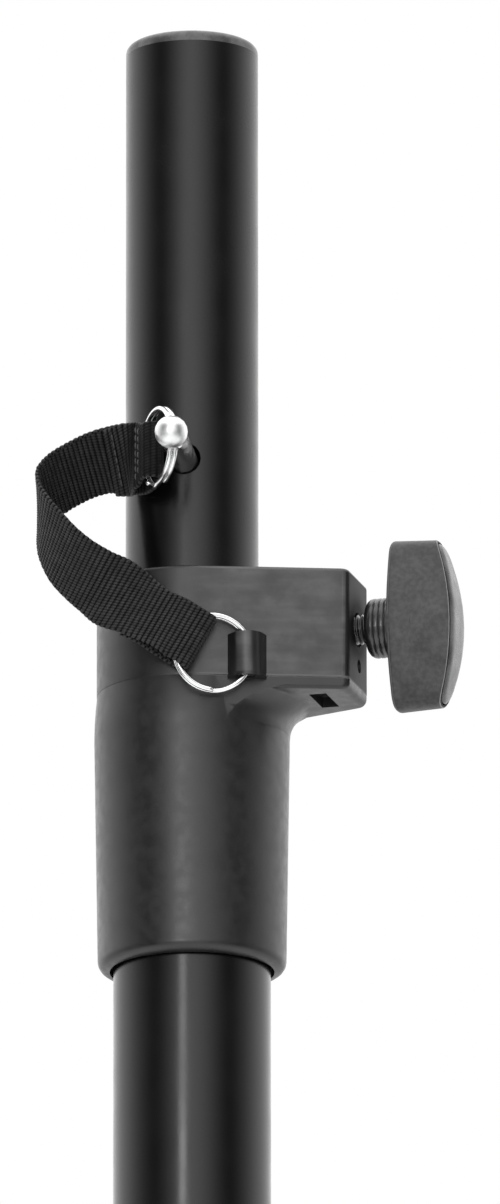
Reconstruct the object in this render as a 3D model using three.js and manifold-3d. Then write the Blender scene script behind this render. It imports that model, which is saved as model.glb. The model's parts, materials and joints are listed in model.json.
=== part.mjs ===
// Speaker pole: a telescoping distance pole with a clamp housing and a tethered locking pin.
// Millimetres. +Z runs up the pole, +X along the clamp screw to the knob, -Y is the side with the pin.
// The origin is the centre of the seat under the base flange, which rests on the rim of a 35 mm socket.

import * as THREE from 'three';
import { mergeVertices } from 'three/addons/utils/BufferGeometryUtils.js';
import Module from 'manifold-3d';

const wasm = await Module();
wasm.setup();

// Clearances and mesh steps shared by the whole pole
const restGap = 0.3; // between pieces that rest on or in each other
const slideGap = 0.25; // radial, between the inner tube and its guides
const overrun = 1; // how far a cutter runs past what it cuts
const roundSteps = 64; // facets round a tube
const smallSteps = 16; // facets round a rivet, screw or pin
const filletSteps = 4;
const rightAngle = Math.PI / 2;
const fullTurn = Math.PI * 2;
const degree = Math.PI / 180;

// Tubes
const innerOd = 35;
const innerWall = 2;
const innerShown = 146.15; // inner tube above the head at rest
const footClearance = 61.5; // under its lower bush at rest, above the base adapter
const outerOd = 41.3;
const outerWall = 1.5;
const outerLength = 557;

// Holes for the locking pin, down the inner tube
const pinHoleDiameter = 8.8;
const pinHolePitch = 50;
const pinHoleCount = 7;
const pinHeight = 31.15; // hole centre above the head at rest
const pinAzimuth = 8.2 * degree; // from -Y towards +X

// Base adapter and spigot
const flangeOd = 45;
const flangeThickness = 4;
const flangeSeatRadius = 18.2; // inside it the underside is recessed for the spigot tube's end
const flangeRecess = 1;
const adapterPlugLength = 52;
const adapterBore = 22;
const spigotLength = 92;
const spigotStubLength = 30;
const spigotCapThickness = 4;
const spigotCapPlugLength = 14;
const spigotCapWall = 2.2;
const spigotCapChamfer = 2;

// Top cap
const capHeight = 3.1;
const capEdgeRadius = 2.1;
const capPlugLength = 14;
const capPlugWall = 2;

// Guide bushes
const upperBushLength = 45;
const bushFlangeThickness = 1.8;
const lowerBushHeight = 14; // the ring below the inner tube
const lowerBushPlugLength = 26;
const lowerBushBore = 22;

// Clamp housing: plan of the head
const headRadius = 25.1;
const headEnd = 45.15; // X of the end face
const headEndHalfWidth = 10.4;
const headCornerRadius = 2.6;
const headEdgeRadius = 0.9;
const panelEdgeRadius = 0.45; // of the lower edge
// Clamp housing: heights, down from the head's top
const panelHeight = 29.75;
const headHeight = 32.7;
const bandRecess = 0.5; // of the sides below the panel; it fades out at the end face
const seamStep = 0.12; // between the panel and the sleeve, on the round side
const bandEdgeRadius = 1; // of the underside's edge along the sides
const endFootRadius = 2; // and of its edge under the end face
const housingHeight = 103.95;
// Clamp housing: sleeve
const sleeveTopRadius = 25.7;
const swellShares = [[1, 1], [0.85, 0.62], [0.5, 0.3], [0, 0]]; // how far out and how far down
const sleeveBottomRadius = 24.75;
const sleeveShoulder = 12; // height over which the sleeve swells, below the seam
const sleeveLipRadius = 2.8;
const sleeveMouthRadius = 21.6;
const sleeveFillet = 9.4; // under the block
const sleeveGap = 0.3;
const tubeEndBelowTop = 30.35; // outer tube's end, inside the head
// Clamp housing: lug for the lower ring
const lugAlong = 12.4; // centre, along the front panel from its tangent point
const lugHeight = 11.8;
const lugTop = 18.85; // below the head's top
const lugWidth = 10.2;
const lugProud = 4.8;
const lugFrontRadius = 4.2;
const lugFrontHalfSweep = 60 * degree;
const lugRoot = 2; // how far the lug's foot runs into the panel
const lugWall = 1.15;
const lugChannelWidth = 4.1;

// Clamp screw, nut and shoe
const screwBelowTop = 14.2;
const screwDiameter = 8;
const screwPitch = 1.25;
const screwHole = 9.2;
const screwTipDiameter = 5.6;
const screwTipLength = 3.6;
const nutSize = 13;
const nutThickness = 4;
const nutAt = 33.9; // X of the nut's inner face
const nutHole = 8.5;
const shoeWidth = 15.4;
const shoeHeight = 19;
const shoeBack = 27.4; // X of the shoe's flat back
const shoeEdge = 1;
const shoePocketGap = 0.3;
const clampTurns = 3;
const blindHoleDiameter = 3.7;
const blindHoleDepth = 7;
const blindHoleBelowScrew = 9.6;
const blindHoleAside = 1.1; // towards the back

// Knob
const hubFace = 48.25; // X of the hub's face
const hubDiameter = 15.8;
const hubEdgeRadius = 1.9;
const hubGroove = 0.25;
const hubGroovePitch = 1.46;
const hubGrooveCount = 3;
const knobBack = 55.05; // X of the knob's back
const knobHalfHeight = 22.8;
const knobHalfWidth = 7.9;
const knobEndHalfWidth = 5.2;
const knobCornerRadius = 4.2;
const knobDraft = 0.5; // how far its outline draws in from back to front
const knobTurn = 3.5 * degree; // at rest, its top towards the front
const knobEdgeRadius = 1.2;
const knobRim = 12.3; // from the back to the front edge, at the ends
const knobBow = 4.5; // how far the front edge stands further out at the middle
const knobBackBow = 0.5;
const knobFrontStep = 0.7; // ledge between rim and cap
const knobCapDepth = 2.6; // pocket that the cap sits in
const knobCapProud = 0.8;
const knobBoreDepth = 16;
const knobSideSteps = 12;
const knobCrownShares = [[0.1, 0], [0.6, 0.6], [0.9, 1.6], [1, 3.2]]; // rise and draw of its edge

// Locking pin and rings
const pinDiameter = 7;
const pinTip = 23.6; // beyond the axis, at the back
const pinTipChamfer = 1.6;
const pinNeckDiameter = 5.6;
const pinNeckLength = 1;
const ballDiameter = 8.7;
const ballAt = 44.9; // from the pole's axis
const eyeAt = 40; // ring's hole, from the pole's axis
const ringWire = 1.1;
const ringCoilGap = 0.45;
const ringRadius = 10.2; // to the middle of the wire
const ringTurns = 1.88;
const ringJog = 40 * degree;
const ringSteps = 24; // for each turn
const ringSides = 6;
const upperRingTurn = 37.5 * degree; // of the upper ring's plane, from +Y towards -X
const lowerRingLift = 6.5 * degree; // of the lower ring's plane, off the front panel

// Retaining strap
const strapThickness = 1.4;
const strapUpperWidth = 18.2; // in the rings' loops the webbing draws in
const strapLowerWidth = 16.4;
const strapWidth = 19.2;
const strapPastRing = 1.2; // straight beyond the ring's wire
const strapSewnLength = 17; // from the fold
const strapFrame = 15 * degree; // the strap's own X, from +X towards +Y
const strapLean = 30 * degree; // of its lower end, above level
const strapSide = 40; // reach of its middle, to the side of the pole's axis
const strapFront = 32; // and in front of it
const strapRise = 0.8; // of its first place, above the pin
const strapDrop = 54; // height that its middle covers, from ring to ring
const strapWidenShares = [0.05, 0.2]; // of its length, where it spreads out of the upper ring
const strapNarrowShares = [0.75, 0.95]; // and where it draws in to the lower ring
const strapClosingShares = [0.35, 0.8]; // of the sewn length, where its two layers come together
const strapPartingShares = [1.05, 1.7]; // where the single web comes back to the middle
const strapSteps = 48;
const strapFlapSteps = 8;
const strapFoldSteps = 8;
// Its middle between the rings, as shares of the reach to the side, the reach to the front and the drop
const strapRouteShares = [
  [0.446, 0.506, 0.008],
  [0.595, 0.461, 0.017],
  [0.742, 0.46, 0.055],
  [0.872, 0.495, 0.116],
  [0.968, 0.568, 0.196],
  [1.0, 0.672, 0.288],
  [0.969, 0.777, 0.381],
  [0.91, 0.868, 0.473],
  [0.836, 0.943, 0.561],
  [0.735, 0.991, 0.641],
  [0.614, 1.01, 0.71],
  [0.488, 1.002, 0.768],
  [0.362, 0.974, 0.824],
  [0.233, 0.946, 0.879],
];
// The direction across it at each of those places: to the right, to the front, up
const strapAcrossShares = [
  [-0.17, 0.45, 0.88],
  [-0.22, 0.69, 0.69],
  [-0.23, 0.74, 0.63],
  [-0.23, 0.75, 0.62],
  [-0.17, 0.79, 0.59],
  [0.0, 0.82, 0.57],
  [0.14, 0.81, 0.57],
  [0.26, 0.78, 0.57],
  [0.34, 0.74, 0.58],
  [0.39, 0.69, 0.61],
  [0.45, 0.58, 0.68],
  [0.52, 0.18, 0.83],
  [0.47, -0.2, 0.86],
  [0.44, -0.26, 0.86],
];

// Small fasteners
const screwHeadDiameter = 7;
const screwHeadHeight = 1.9;
const fixingDiameter = 3.8;
const fixingHeights = [45.6, 17.6]; // housing screws, above the housing's lower end
const rivetDiameter = 4;
const rivetHeadDiameter = 7.6;
const rivetHeadHeight = 1.5;
const rivetDepth = 7; // of its shank in the plastic
const adapterRivetHeight = 30;
const spigotRivetDepth = 16;
const bushRivetHeight = 13;

// Colours and finish
const blackPaint = { color: 0x17181a, roughness: 0.32, metalness: 0.3 };
const blackPlastic = { color: 0x2a2b2d, roughness: 0.5, metalness: 0 };
const greyPlastic = { color: 0x3b3c3e, roughness: 0.45, metalness: 0 };
const liner = { color: 0x1c1c1e, roughness: 0.6, metalness: 0 };
const zinc = { color: 0x9a9c9e, roughness: 0.35, metalness: 1 };
const blackSteel = { color: 0x2c2d2f, roughness: 0.4, metalness: 0.8 };
const chrome = { color: 0xd8dadc, roughness: 0.12, metalness: 1 };
const webbing = { color: 0x1e1f20, roughness: 0.9, metalness: 0 };

// Places that follow from the sizes above
const innerRadius = innerOd / 2;
const outerRadius = outerOd / 2;
const innerBoreRadius = innerRadius - innerWall;
const outerBoreRadius = outerRadius - outerWall;
const headTop = flangeThickness + outerLength + tubeEndBelowTop;
const outerTop = headTop - tubeEndBelowTop;
const innerTop = headTop + innerShown;
const innerFoot = flangeThickness + adapterPlugLength + footClearance + lowerBushHeight;
const pinZ = headTop + pinHeight - (pinHoleDiameter - pinDiameter) / 2 + restGap;
const screwZ = headTop - screwBelowTop;
const housingFoot = headTop - housingHeight;
const clampTravel = clampTurns * screwPitch;

// Helpers: closed meshes, booleans and placing

function closed(geometry) {
  const bare = new THREE.BufferGeometry();
  bare.setAttribute('position', geometry.getAttribute('position').clone());
  if (geometry.index) bare.setIndex(geometry.index.clone());
  const merged = mergeVertices(bare);
  const corners = merged.index.array;
  const kept = [];
  for (let i = 0; i < corners.length; i += 3) {
    const [a, b, c] = [corners[i], corners[i + 1], corners[i + 2]];
    if (a !== b && b !== c && c !== a) kept.push(a, b, c);
  }
  merged.setIndex(kept);
  if (volume(merged) < 0) {
    for (let i = 0; i < kept.length; i += 3) [kept[i], kept[i + 1]] = [kept[i + 1], kept[i]];
    merged.setIndex(kept);
  }
  return merged;
}

function volume(geometry) {
  const p = geometry.getAttribute('position');
  const [a, b, c] = [new THREE.Vector3(), new THREE.Vector3(), new THREE.Vector3()];
  let sum = 0;
  for (let i = 0; i < geometry.index.count; i += 3) {
    a.fromBufferAttribute(p, geometry.index.getX(i));
    b.fromBufferAttribute(p, geometry.index.getX(i + 1));
    c.fromBufferAttribute(p, geometry.index.getX(i + 2));
    sum += a.dot(b.cross(c)) / 6;
  }
  return sum;
}

function solid(geometry) {
  const g = closed(geometry);
  const vertProperties = Float32Array.from(g.getAttribute('position').array);
  const triVerts = Uint32Array.from(g.index.array);
  return new wasm.Manifold(new wasm.Mesh({ numProp: 3, vertProperties, triVerts }));
}

function geometryOf(body) {
  const mesh = body.getMesh();
  const g = new THREE.BufferGeometry();
  g.setAttribute('position', new THREE.BufferAttribute(Float32Array.from(mesh.vertProperties), 3));
  g.setIndex(Array.from(mesh.triVerts));
  return g;
}

function cutAway(body, cutters) {
  return cutters.reduce((left, cutter) => left.subtract(solid(cutter)), body);
}

// A profile of [radius, height] points turned about Z
function turned(profile, steps = roundSteps) {
  const points = profile.map(([r, z]) => new THREE.Vector2(r, z));
  points.push(points[0].clone());
  return new THREE.LatheGeometry(points, steps).rotateX(rightAngle);
}

// The same, about X, with [radius, x] points
function turnedAboutX(profile, steps = roundSteps) {
  return turned(profile, steps).rotateY(rightAngle);
}

function tube(outer, inner, low, high) {
  return turned([[inner, low], [outer, low], [outer, high], [inner, high]]);
}

function rod(radius, low, high, steps = smallSteps) {
  return new THREE.CylinderGeometry(radius, radius, high - low, steps)
    .rotateX(rightAngle).translate(0, 0, (low + high) / 2);
}

function block(x0, x1, y0, y1, z0, z1) {
  return new THREE.BoxGeometry(x1 - x0, y1 - y0, z1 - z0)
    .translate((x0 + x1) / 2, (y0 + y1) / 2, (z0 + z1) / 2);
}

// A rod along X at a height
function crossRod(radius, x0, x1, z, steps = smallSteps) {
  return rod(radius, x0, x1, steps).rotateY(rightAngle).translate(0, 0, z);
}

function arc(cx, cy, radius, from, to, steps) {
  return Array.from({ length: steps + 1 }, (_, i) => {
    const angle = from + ((to - from) * i) / steps;
    return [cx + radius * Math.cos(angle), cy + radius * Math.sin(angle)];
  });
}

function shapeOf(points) {
  return new THREE.Shape(points.map(([x, y]) => new THREE.Vector2(x, y)));
}

// An outline in plan, from low to high, with its top and bottom edges rounded
function slab(points, low, high, edge) {
  return new THREE.ExtrudeGeometry(shapeOf(points), {
    depth: high - low - 2 * edge,
    bevelEnabled: edge > 0,
    bevelThickness: edge,
    bevelSize: edge,
    bevelOffset: -edge,
    bevelSegments: filletSteps,
  }).translate(0, 0, low + edge);
}

const group = new THREE.Group();

function add(name, geometry, finish, parent = group) {
  const mesh = new THREE.Mesh(geometry, new THREE.MeshStandardMaterial(finish));
  mesh.name = name;
  parent.add(mesh);
  return mesh;
}

// Small fasteners, made along +X with the head's seat at X = 0 and turned to where they go

function fastener(shankRadius, headRadius, headHeight, length) {
  return turnedAboutX([
    [0, -length],
    [shankRadius, -length],
    [shankRadius, 0],
    [headRadius, 0],
    [headRadius, headHeight / 2],
    [headRadius - headHeight / 2, headHeight],
    [0, headHeight],
  ], smallSteps);
}

function placed(geometry, azimuth, radius, z) {
  return geometry.clone().translate(radius, 0, z).rotateZ(azimuth);
}

const rivet = fastener(rivetDiameter / 2, rivetHeadDiameter / 2, rivetHeadHeight, rivetDepth);
const rivetHole = rod(rivetDiameter / 2 + restGap, -rivetDepth - restGap, rivetHeadHeight)
  .rotateY(rightAngle);
const sideAngles = [0, Math.PI];
const sideNames = ['right', 'left'];

function rivetCutters(radius, z) {
  return sideAngles.map((angle) => placed(rivetHole, angle, radius, z));
}

// Tubes

const fixingAngle = rightAngle; // the housing's screws are at the back
const fixing = fastener(
  fixingDiameter / 2,
  screwHeadDiameter / 2,
  screwHeadHeight,
  sleeveBottomRadius - screwHeadHeight - outerBoreRadius - restGap,
);
const fixingSeat = sleeveBottomRadius - screwHeadHeight;

function fixingCutters(z) {
  const shank = rod(fixingDiameter / 2 + restGap, outerBoreRadius - overrun - fixingSeat, restGap);
  const head = rod(screwHeadDiameter / 2 + restGap, 0, screwHeadHeight + 2 * overrun);
  return [shank, head].map((g) => placed(g.rotateY(rightAngle), fixingAngle, fixingSeat, z));
}

function outerTube() {
  const body = solid(tube(outerRadius, outerBoreRadius, flangeThickness, outerTop));
  const fixings = fixingHeights.flatMap((above) => fixingCutters(housingFoot + above));
  return cutAway(body, [...fixings, ...rivetCutters(outerRadius, adapterRivetHeight)]);
}

function pinHole(z) {
  return rod(pinHoleDiameter / 2, -innerRadius - overrun, innerRadius + overrun)
    .rotateX(rightAngle).rotateZ(pinAzimuth).translate(0, 0, z);
}

function innerTube() {
  const body = solid(tube(innerRadius, innerBoreRadius, innerFoot, innerTop));
  const holes = Array.from({ length: pinHoleCount }, (_, i) =>
    pinHole(headTop + pinHeight - i * pinHolePitch));
  return cutAway(body, [...holes, ...rivetCutters(innerRadius, innerFoot + bushRivetHeight)]);
}

add('outer_tube', geometryOf(outerTube()), blackPaint);
add('inner_tube', geometryOf(innerTube()), blackPaint);

// Base adapter, spigot and their rivets

const plugRadius = outerBoreRadius - slideGap;
const stubRadius = innerBoreRadius - slideGap;

function baseAdapter() {
  const bore = adapterBore / 2;
  const body = solid(turned([
    [bore, -spigotStubLength],
    [stubRadius, -spigotStubLength],
    [stubRadius, flangeRecess],
    [flangeSeatRadius, flangeRecess],
    [flangeSeatRadius, 0],
    [flangeOd / 2, 0],
    [flangeOd / 2, flangeThickness],
    [plugRadius, flangeThickness],
    [plugRadius, flangeThickness + adapterPlugLength],
    [bore, flangeThickness + adapterPlugLength],
  ]));
  return cutAway(body, [
    ...rivetCutters(outerRadius, adapterRivetHeight),
    ...rivetCutters(innerRadius, -spigotRivetDepth),
  ]);
}

const spigotEnd = -spigotLength;
const spigotTube = cutAway(
  solid(tube(innerRadius, innerBoreRadius, spigotEnd, flangeRecess)),
  rivetCutters(innerRadius, -spigotRivetDepth),
);
add('base_adapter', geometryOf(baseAdapter()), blackPlastic);
add('spigot_tube', geometryOf(spigotTube), blackPaint);

function spigotCap() {
  const low = spigotEnd - spigotCapThickness;
  const inside = stubRadius - spigotCapWall;
  return turned([
    [0, low],
    [innerRadius - spigotCapChamfer, low],
    [innerRadius, low + spigotCapChamfer],
    [innerRadius, spigotEnd],
    [stubRadius, spigotEnd],
    [stubRadius, spigotEnd + spigotCapPlugLength],
    [inside, spigotEnd + spigotCapPlugLength],
    [inside, spigotEnd],
    [0, spigotEnd],
  ]);
}
add('spigot_end_cap', closed(spigotCap()), blackPlastic);

const lowerBushSeat = innerFoot;
const rivetRows = [
  ['adapter_rivet', outerRadius, adapterRivetHeight],
  ['spigot_rivet', innerRadius, -spigotRivetDepth],
];
for (const [name, radius, z] of rivetRows) {
  sideAngles.forEach((angle, i) => {
    add(`${name}_${sideNames[i]}`, closed(placed(rivet, angle, radius + restGap, z)), blackSteel);
  });
}

// Guide bushes and top cap

const guideRadius = innerRadius + slideGap;
const guideOutside = outerBoreRadius - slideGap;
const headBoreRadius = outerRadius + sleeveGap;
add('upper_guide_bush', closed(turned([
  [guideRadius, outerTop - upperBushLength],
  [guideOutside, outerTop - upperBushLength],
  [guideOutside, outerTop],
  [headBoreRadius - restGap, outerTop],
  [headBoreRadius - restGap, outerTop + bushFlangeThickness],
  [guideRadius, outerTop + bushFlangeThickness],
])), liner);

function lowerBush() {
  const bore = lowerBushBore / 2;
  const body = solid(turned([
    [bore, lowerBushSeat - lowerBushHeight],
    [guideOutside, lowerBushSeat - lowerBushHeight],
    [guideOutside, lowerBushSeat],
    [stubRadius, lowerBushSeat],
    [stubRadius, lowerBushSeat + lowerBushPlugLength],
    [bore, lowerBushSeat + lowerBushPlugLength],
  ]));
  return cutAway(body, rivetCutters(innerRadius, lowerBushSeat + bushRivetHeight));
}
add('lower_guide_bush', geometryOf(lowerBush()), liner);

// The foot's rivets have flat heads, so they pass the upper bush
const flatRivet = fastener(
  rivetDiameter / 2,
  rivetHeadDiameter / 2,
  outerBoreRadius - innerRadius - 2 * restGap - slideGap,
  rivetDepth,
);
sideAngles.forEach((angle, i) => {
  const z = lowerBushSeat + bushRivetHeight;
  const head = placed(flatRivet, angle, innerRadius + restGap / 2, z);
  add(`foot_rivet_${sideNames[i]}`, closed(head), blackSteel);
});

function topCap() {
  const top = innerTop + capHeight;
  const inside = stubRadius - capPlugWall;
  return turned([
    [inside, innerTop - capPlugLength],
    [stubRadius, innerTop - capPlugLength],
    [stubRadius, innerTop],
    [innerRadius, innerTop],
    ...arc(innerRadius - capEdgeRadius, top - capEdgeRadius, capEdgeRadius, 0, rightAngle, filletSteps),
    [0, top],
    [0, innerTop],
    [inside, innerTop],
  ]);
}
add('top_cap', closed(topCap()), greyPlastic);

// Clamp housing

// The head's sides run from the end face and meet the round part as tangents
const endReach = Math.hypot(headEnd, headEndHalfWidth);
const sideLean = Math.asin(headRadius / endReach) - Math.atan2(headEndHalfWidth, headEnd);
const panelNormal = sideLean - rightAngle; // direction that the front panel faces

function headPlan(inset, endInset = inset) {
  const radius = headRadius - inset;
  const corner = headCornerRadius - inset;
  const x = headEnd - endInset - corner;
  // a corner's centre lies its radius inside both the end face and the side
  const y = (radius - corner - x * Math.sin(sideLean)) / Math.cos(sideLean);
  return [
    ...arc(x, -y, corner, panelNormal, 0, filletSteps),
    ...arc(x, y, corner, 0, -panelNormal, filletSteps),
    ...arc(0, 0, radius, -panelNormal, panelNormal + fullTurn, roundSteps / 2 + filletSteps),
  ];
}

function sleeve() {
  const low = housingFoot;
  const seam = headTop - panelHeight;
  const seamRadius = headRadius - seamStep;
  return turned([
    [sleeveMouthRadius, low],
    ...arc(
      sleeveBottomRadius - sleeveLipRadius, low + sleeveLipRadius, sleeveLipRadius,
      -rightAngle, 0, filletSteps,
    ),
    ...swellShares.map(([share, rise]) => [
      seamRadius + (sleeveTopRadius - seamRadius) * share, seam - sleeveShoulder * rise,
    ]),
    [seamRadius, seam + panelEdgeRadius * 2],
    [0, seam + panelEdgeRadius * 2],
    [0, low + sleeveLipRadius],
    [sleeveMouthRadius, low + sleeveLipRadius],
  ]);
}

// The moulding fillets from the sleeve to the block's underside, inside the head's plan
function blockFillet() {
  const top = headTop - headHeight + bandEdgeRadius;
  const rim = sleeveTopRadius + sleeveFillet;
  const hollow = arc(rim, top - sleeveFillet, sleeveFillet, Math.PI, rightAngle, 2 * filletSteps);
  const ring = turned([[0, top], [0, top - sleeveFillet], ...hollow]);
  const under = slab(headPlan(bandRecess), top - sleeveFillet - overrun, top + overrun, 0);
  return solid(ring).intersect(solid(under));
}

// The lug is a bridge on the front panel, made at X = 0 facing -Y and turned with the panel
function lugPlace(geometry) {
  return geometry.translate(lugAlong, -headRadius, 0).rotateZ(sideLean);
}

function lugBody() {
  const low = headTop - lugTop - lugHeight;
  const [half, r, sweep] = [lugWidth / 2, lugFrontRadius, lugFrontHalfSweep];
  const outline = [
    [-half, lugRoot],
    [-half, 0],
    ...arc(0, r - lugProud, r, -rightAngle - sweep, -rightAngle + sweep, 2 * filletSteps),
    [half, 0],
    [half, lugRoot],
  ];
  return lugPlace(slab(outline, low, low + lugHeight, 0));
}

function lugChannel() {
  const low = headTop - lugTop - lugHeight;
  const half = lugChannelWidth / 2;
  return lugPlace(block(-half, half, -(lugProud - lugWall), 0, low - overrun, low + lugHeight + overrun));
}

function shoePocket() {
  const [w, h] = [shoeWidth / 2 + shoePocketGap, shoeHeight / 2 + shoePocketGap];
  const back = shoeBack + clampTravel + 2 * restGap;
  return block(0, back, -w, w, screwZ - h, screwZ + h);
}

function nutPocket() {
  const half = nutSize / 2 + restGap;
  const low = headTop - headHeight - sleeveFillet - overrun;
  return block(nutAt - restGap, nutAt + nutThickness + restGap, -half, half, low, screwZ + half);
}

// A rounded edge of the head, as rows of height and inset, from the flat face (side -1 under, 1 over)
function edgeRows(z, side, radius, inset = 0) {
  const rows = arc(0, 0, radius, 0, rightAngle, filletSteps).map(([draw, rise]) => [
    z + side * (rise - radius), inset + radius - draw,
  ]);
  return side < 0 ? rows.reverse() : rows;
}

// How far a rounded edge draws in at a height above its flat face
function drawIn(radius, height) {
  return height < radius ? radius - Math.sqrt(radius ** 2 - (radius - height) ** 2) : 0;
}

// The underside's edge, which is rounder under the end face than along the sides
function undersideRows() {
  const heights = arc(0, 0, endFootRadius, 0, rightAngle, 2 * filletSteps).map(([, y]) => endFootRadius - y);
  return heights.reverse().map((height) => [
    headTop - headHeight + height,
    bandRecess + drawIn(bandEdgeRadius, height),
    drawIn(endFootRadius, height),
  ]);
}

function head() {
  const rows = [
    ...undersideRows(),
    [headTop - panelHeight, bandRecess, 0],
    ...edgeRows(headTop - panelHeight, -1, panelEdgeRadius).map(([z, inset]) => [z, inset, 0]),
    ...edgeRows(headTop, 1, headEdgeRadius),
  ];
  const outlines = rows.map(([z, ...insets]) => headPlan(...insets).map(([x, y]) => [x, y, z]));
  const n = outlines[0].length;
  const faces = [];
  for (let k = 0; k + 1 < rows.length; k++) {
    for (let j = 0; j < n; j++) {
      const [a, b] = [k * n + j, k * n + ((j + 1) % n)];
      faces.push(a, b, b + n, a, b + n, a + n);
    }
  }
  const capOf = (outline, first) => THREE.ShapeUtils
    .triangulateShape(outline.map(([x, y]) => new THREE.Vector2(x, y)), [])
    .map((corner) => corner.map((i) => i + first));
  capOf(outlines[0], 0).forEach(([a, b, c]) => faces.push(a, c, b));
  capOf(outlines.at(-1), (rows.length - 1) * n).forEach(([a, b, c]) => faces.push(a, b, c));
  const g = new THREE.BufferGeometry();
  g.setAttribute('position', new THREE.Float32BufferAttribute(outlines.flat(2), 3));
  g.setIndex(faces);
  return g;
}

function clampHousing() {
  const body = solid(head()).add(solid(sleeve())).add(blockFillet()).add(solid(lugBody()));
  const bushTop = outerTop + bushFlangeThickness;
  return cutAway(body, [
    turned([
      [0, housingFoot - overrun],
      [headBoreRadius, housingFoot - overrun],
      [headBoreRadius, bushTop],
      [0, bushTop],
    ]),
    turned([[0, bushTop - overrun], [guideRadius + restGap, bushTop - overrun],
      [guideRadius + restGap, headTop + overrun], [0, headTop + overrun]]),
    shoePocket(),
    nutPocket(),
    crossRod(screwHole / 2, shoeBack, headEnd + overrun, screwZ),
    crossRod(blindHoleDiameter / 2, headEnd - blindHoleDepth, headEnd + overrun, screwZ - blindHoleBelowScrew)
      .translate(0, blindHoleAside, 0),
    lugChannel(),
    ...fixingHeights.flatMap((above) => fixingCutters(housingFoot + above)),
  ]);
}
add('clamp_housing', geometryOf(clampHousing()), blackPlastic);
fixingHeights.forEach((above, i) => {
  const geometry = placed(fixing, fixingAngle, fixingSeat + restGap / 2, housingFoot + above);
  add(`housing_screw_${i + 1}`, closed(geometry), blackSteel);
});

// Square nut, pressure shoe and clamp screw

const nutHalf = nutSize / 2;
const nut = cutAway(
  solid(block(nutAt, nutAt + nutThickness, -nutHalf, nutHalf, screwZ - nutHalf, screwZ + nutHalf)),
  [crossRod(nutHole / 2, nutAt - overrun, nutAt + nutThickness + overrun, screwZ)],
);
add('square_nut', geometryOf(nut), zinc);

function pressureShoe() {
  const [w, h] = [shoeWidth / 2, shoeHeight / 2];
  const outline = [
    [innerRadius / 2, -w],
    [shoeBack - shoeEdge, -w],
    [shoeBack, -w + shoeEdge],
    [shoeBack, w - shoeEdge],
    [shoeBack - shoeEdge, w],
    [innerRadius / 2, w],
  ];
  return cutAway(solid(slab(outline, screwZ - h, screwZ + h, 0)), [
    rod(innerRadius + restGap, screwZ - shoeHeight, screwZ + shoeHeight, roundSteps),
    crossRod(screwTipDiameter / 2 + restGap, shoeBack - screwTipLength, shoeBack + overrun, screwZ),
  ]);
}
add('pressure_shoe', geometryOf(pressureShoe()), liner);

const knobBoreEnd = hubFace + knobBoreDepth;
const clampScrew = turnedAboutX([
  [0, shoeBack - screwTipLength + restGap],
  [screwTipDiameter / 2, shoeBack - screwTipLength + restGap],
  [screwTipDiameter / 2, shoeBack + restGap],
  [screwDiameter / 2, shoeBack + restGap + screwPitch],
  [screwDiameter / 2, knobBoreEnd - restGap],
  [0, knobBoreEnd - restGap],
], smallSteps * 2);
add('clamp_screw', closed(clampScrew).translate(0, 0, screwZ), zinc);

// Knob: an upright oval whose front edge bows out at its middle

const knobOutline = (() => {
  const r = knobCornerRadius;
  const z = knobHalfHeight - r;
  const y = knobEndHalfWidth - r;
  const rise = z;
  const sag = knobHalfWidth - knobEndHalfWidth;
  const sideRadius = (rise * rise + sag * sag) / (2 * sag);
  const sweep = Math.asin(rise / sideRadius);
  const right = [
    ...arc(y, z, r, rightAngle, sweep, filletSteps),
    ...arc(knobHalfWidth - sideRadius, 0, sideRadius, sweep, -sweep, knobSideSteps).slice(1, -1),
    ...arc(y, -z, r, -sweep, -rightAngle, filletSteps),
  ];
  return [...right, ...right.map(([a, b]) => [-a, -b])];
})();

// Rings of the outline, each drawn in by an inset, at an X that bows with the height
function bowedLoft(rings) {
  const corners = [];
  const faces = [];
  const n = knobOutline.length;
  for (const { x, bow, inset } of rings) {
    const [sy, sz] = [1 - inset / knobHalfWidth, 1 - inset / knobHalfHeight];
    for (const [y, z] of knobOutline) {
      const share = (z * sz) / knobHalfHeight;
      corners.push(x + bow * (1 - share * share), y * sy, z * sz);
    }
  }
  for (let k = 0; k + 1 < rings.length; k++) {
    for (let j = 0; j < n; j++) {
      const [a, b] = [k * n + j, k * n + ((j + 1) % n)];
      faces.push(a, b, b + n, a, b + n, a + n);
    }
  }
  const last = (rings.length - 1) * n;
  // each end closes with strips between the outline's two sides
  for (let j = 0; j + 1 < n / 2; j++) {
    const [a, b, c, d] = [j, j + 1, n - 2 - j, n - 1 - j];
    faces.push(a, d, c, a, c, b, last + a, last + c, last + d, last + a, last + b, last + c);
  }
  const g = new THREE.BufferGeometry();
  g.setAttribute('position', new THREE.Float32BufferAttribute(corners, 3));
  g.setIndex(faces);
  return closed(g).rotateX(knobTurn).translate(0, 0, screwZ);
}

function edgeRings(x, side, radius, bow, inset = 0) {
  return Array.from({ length: filletSteps + 1 }, (_, i) => {
    const angle = (rightAngle * i) / filletSteps;
    return {
      x: x + side * radius * Math.sin(angle),
      bow,
      inset: inset + radius * (1 - Math.cos(angle)),
    };
  });
}

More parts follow.
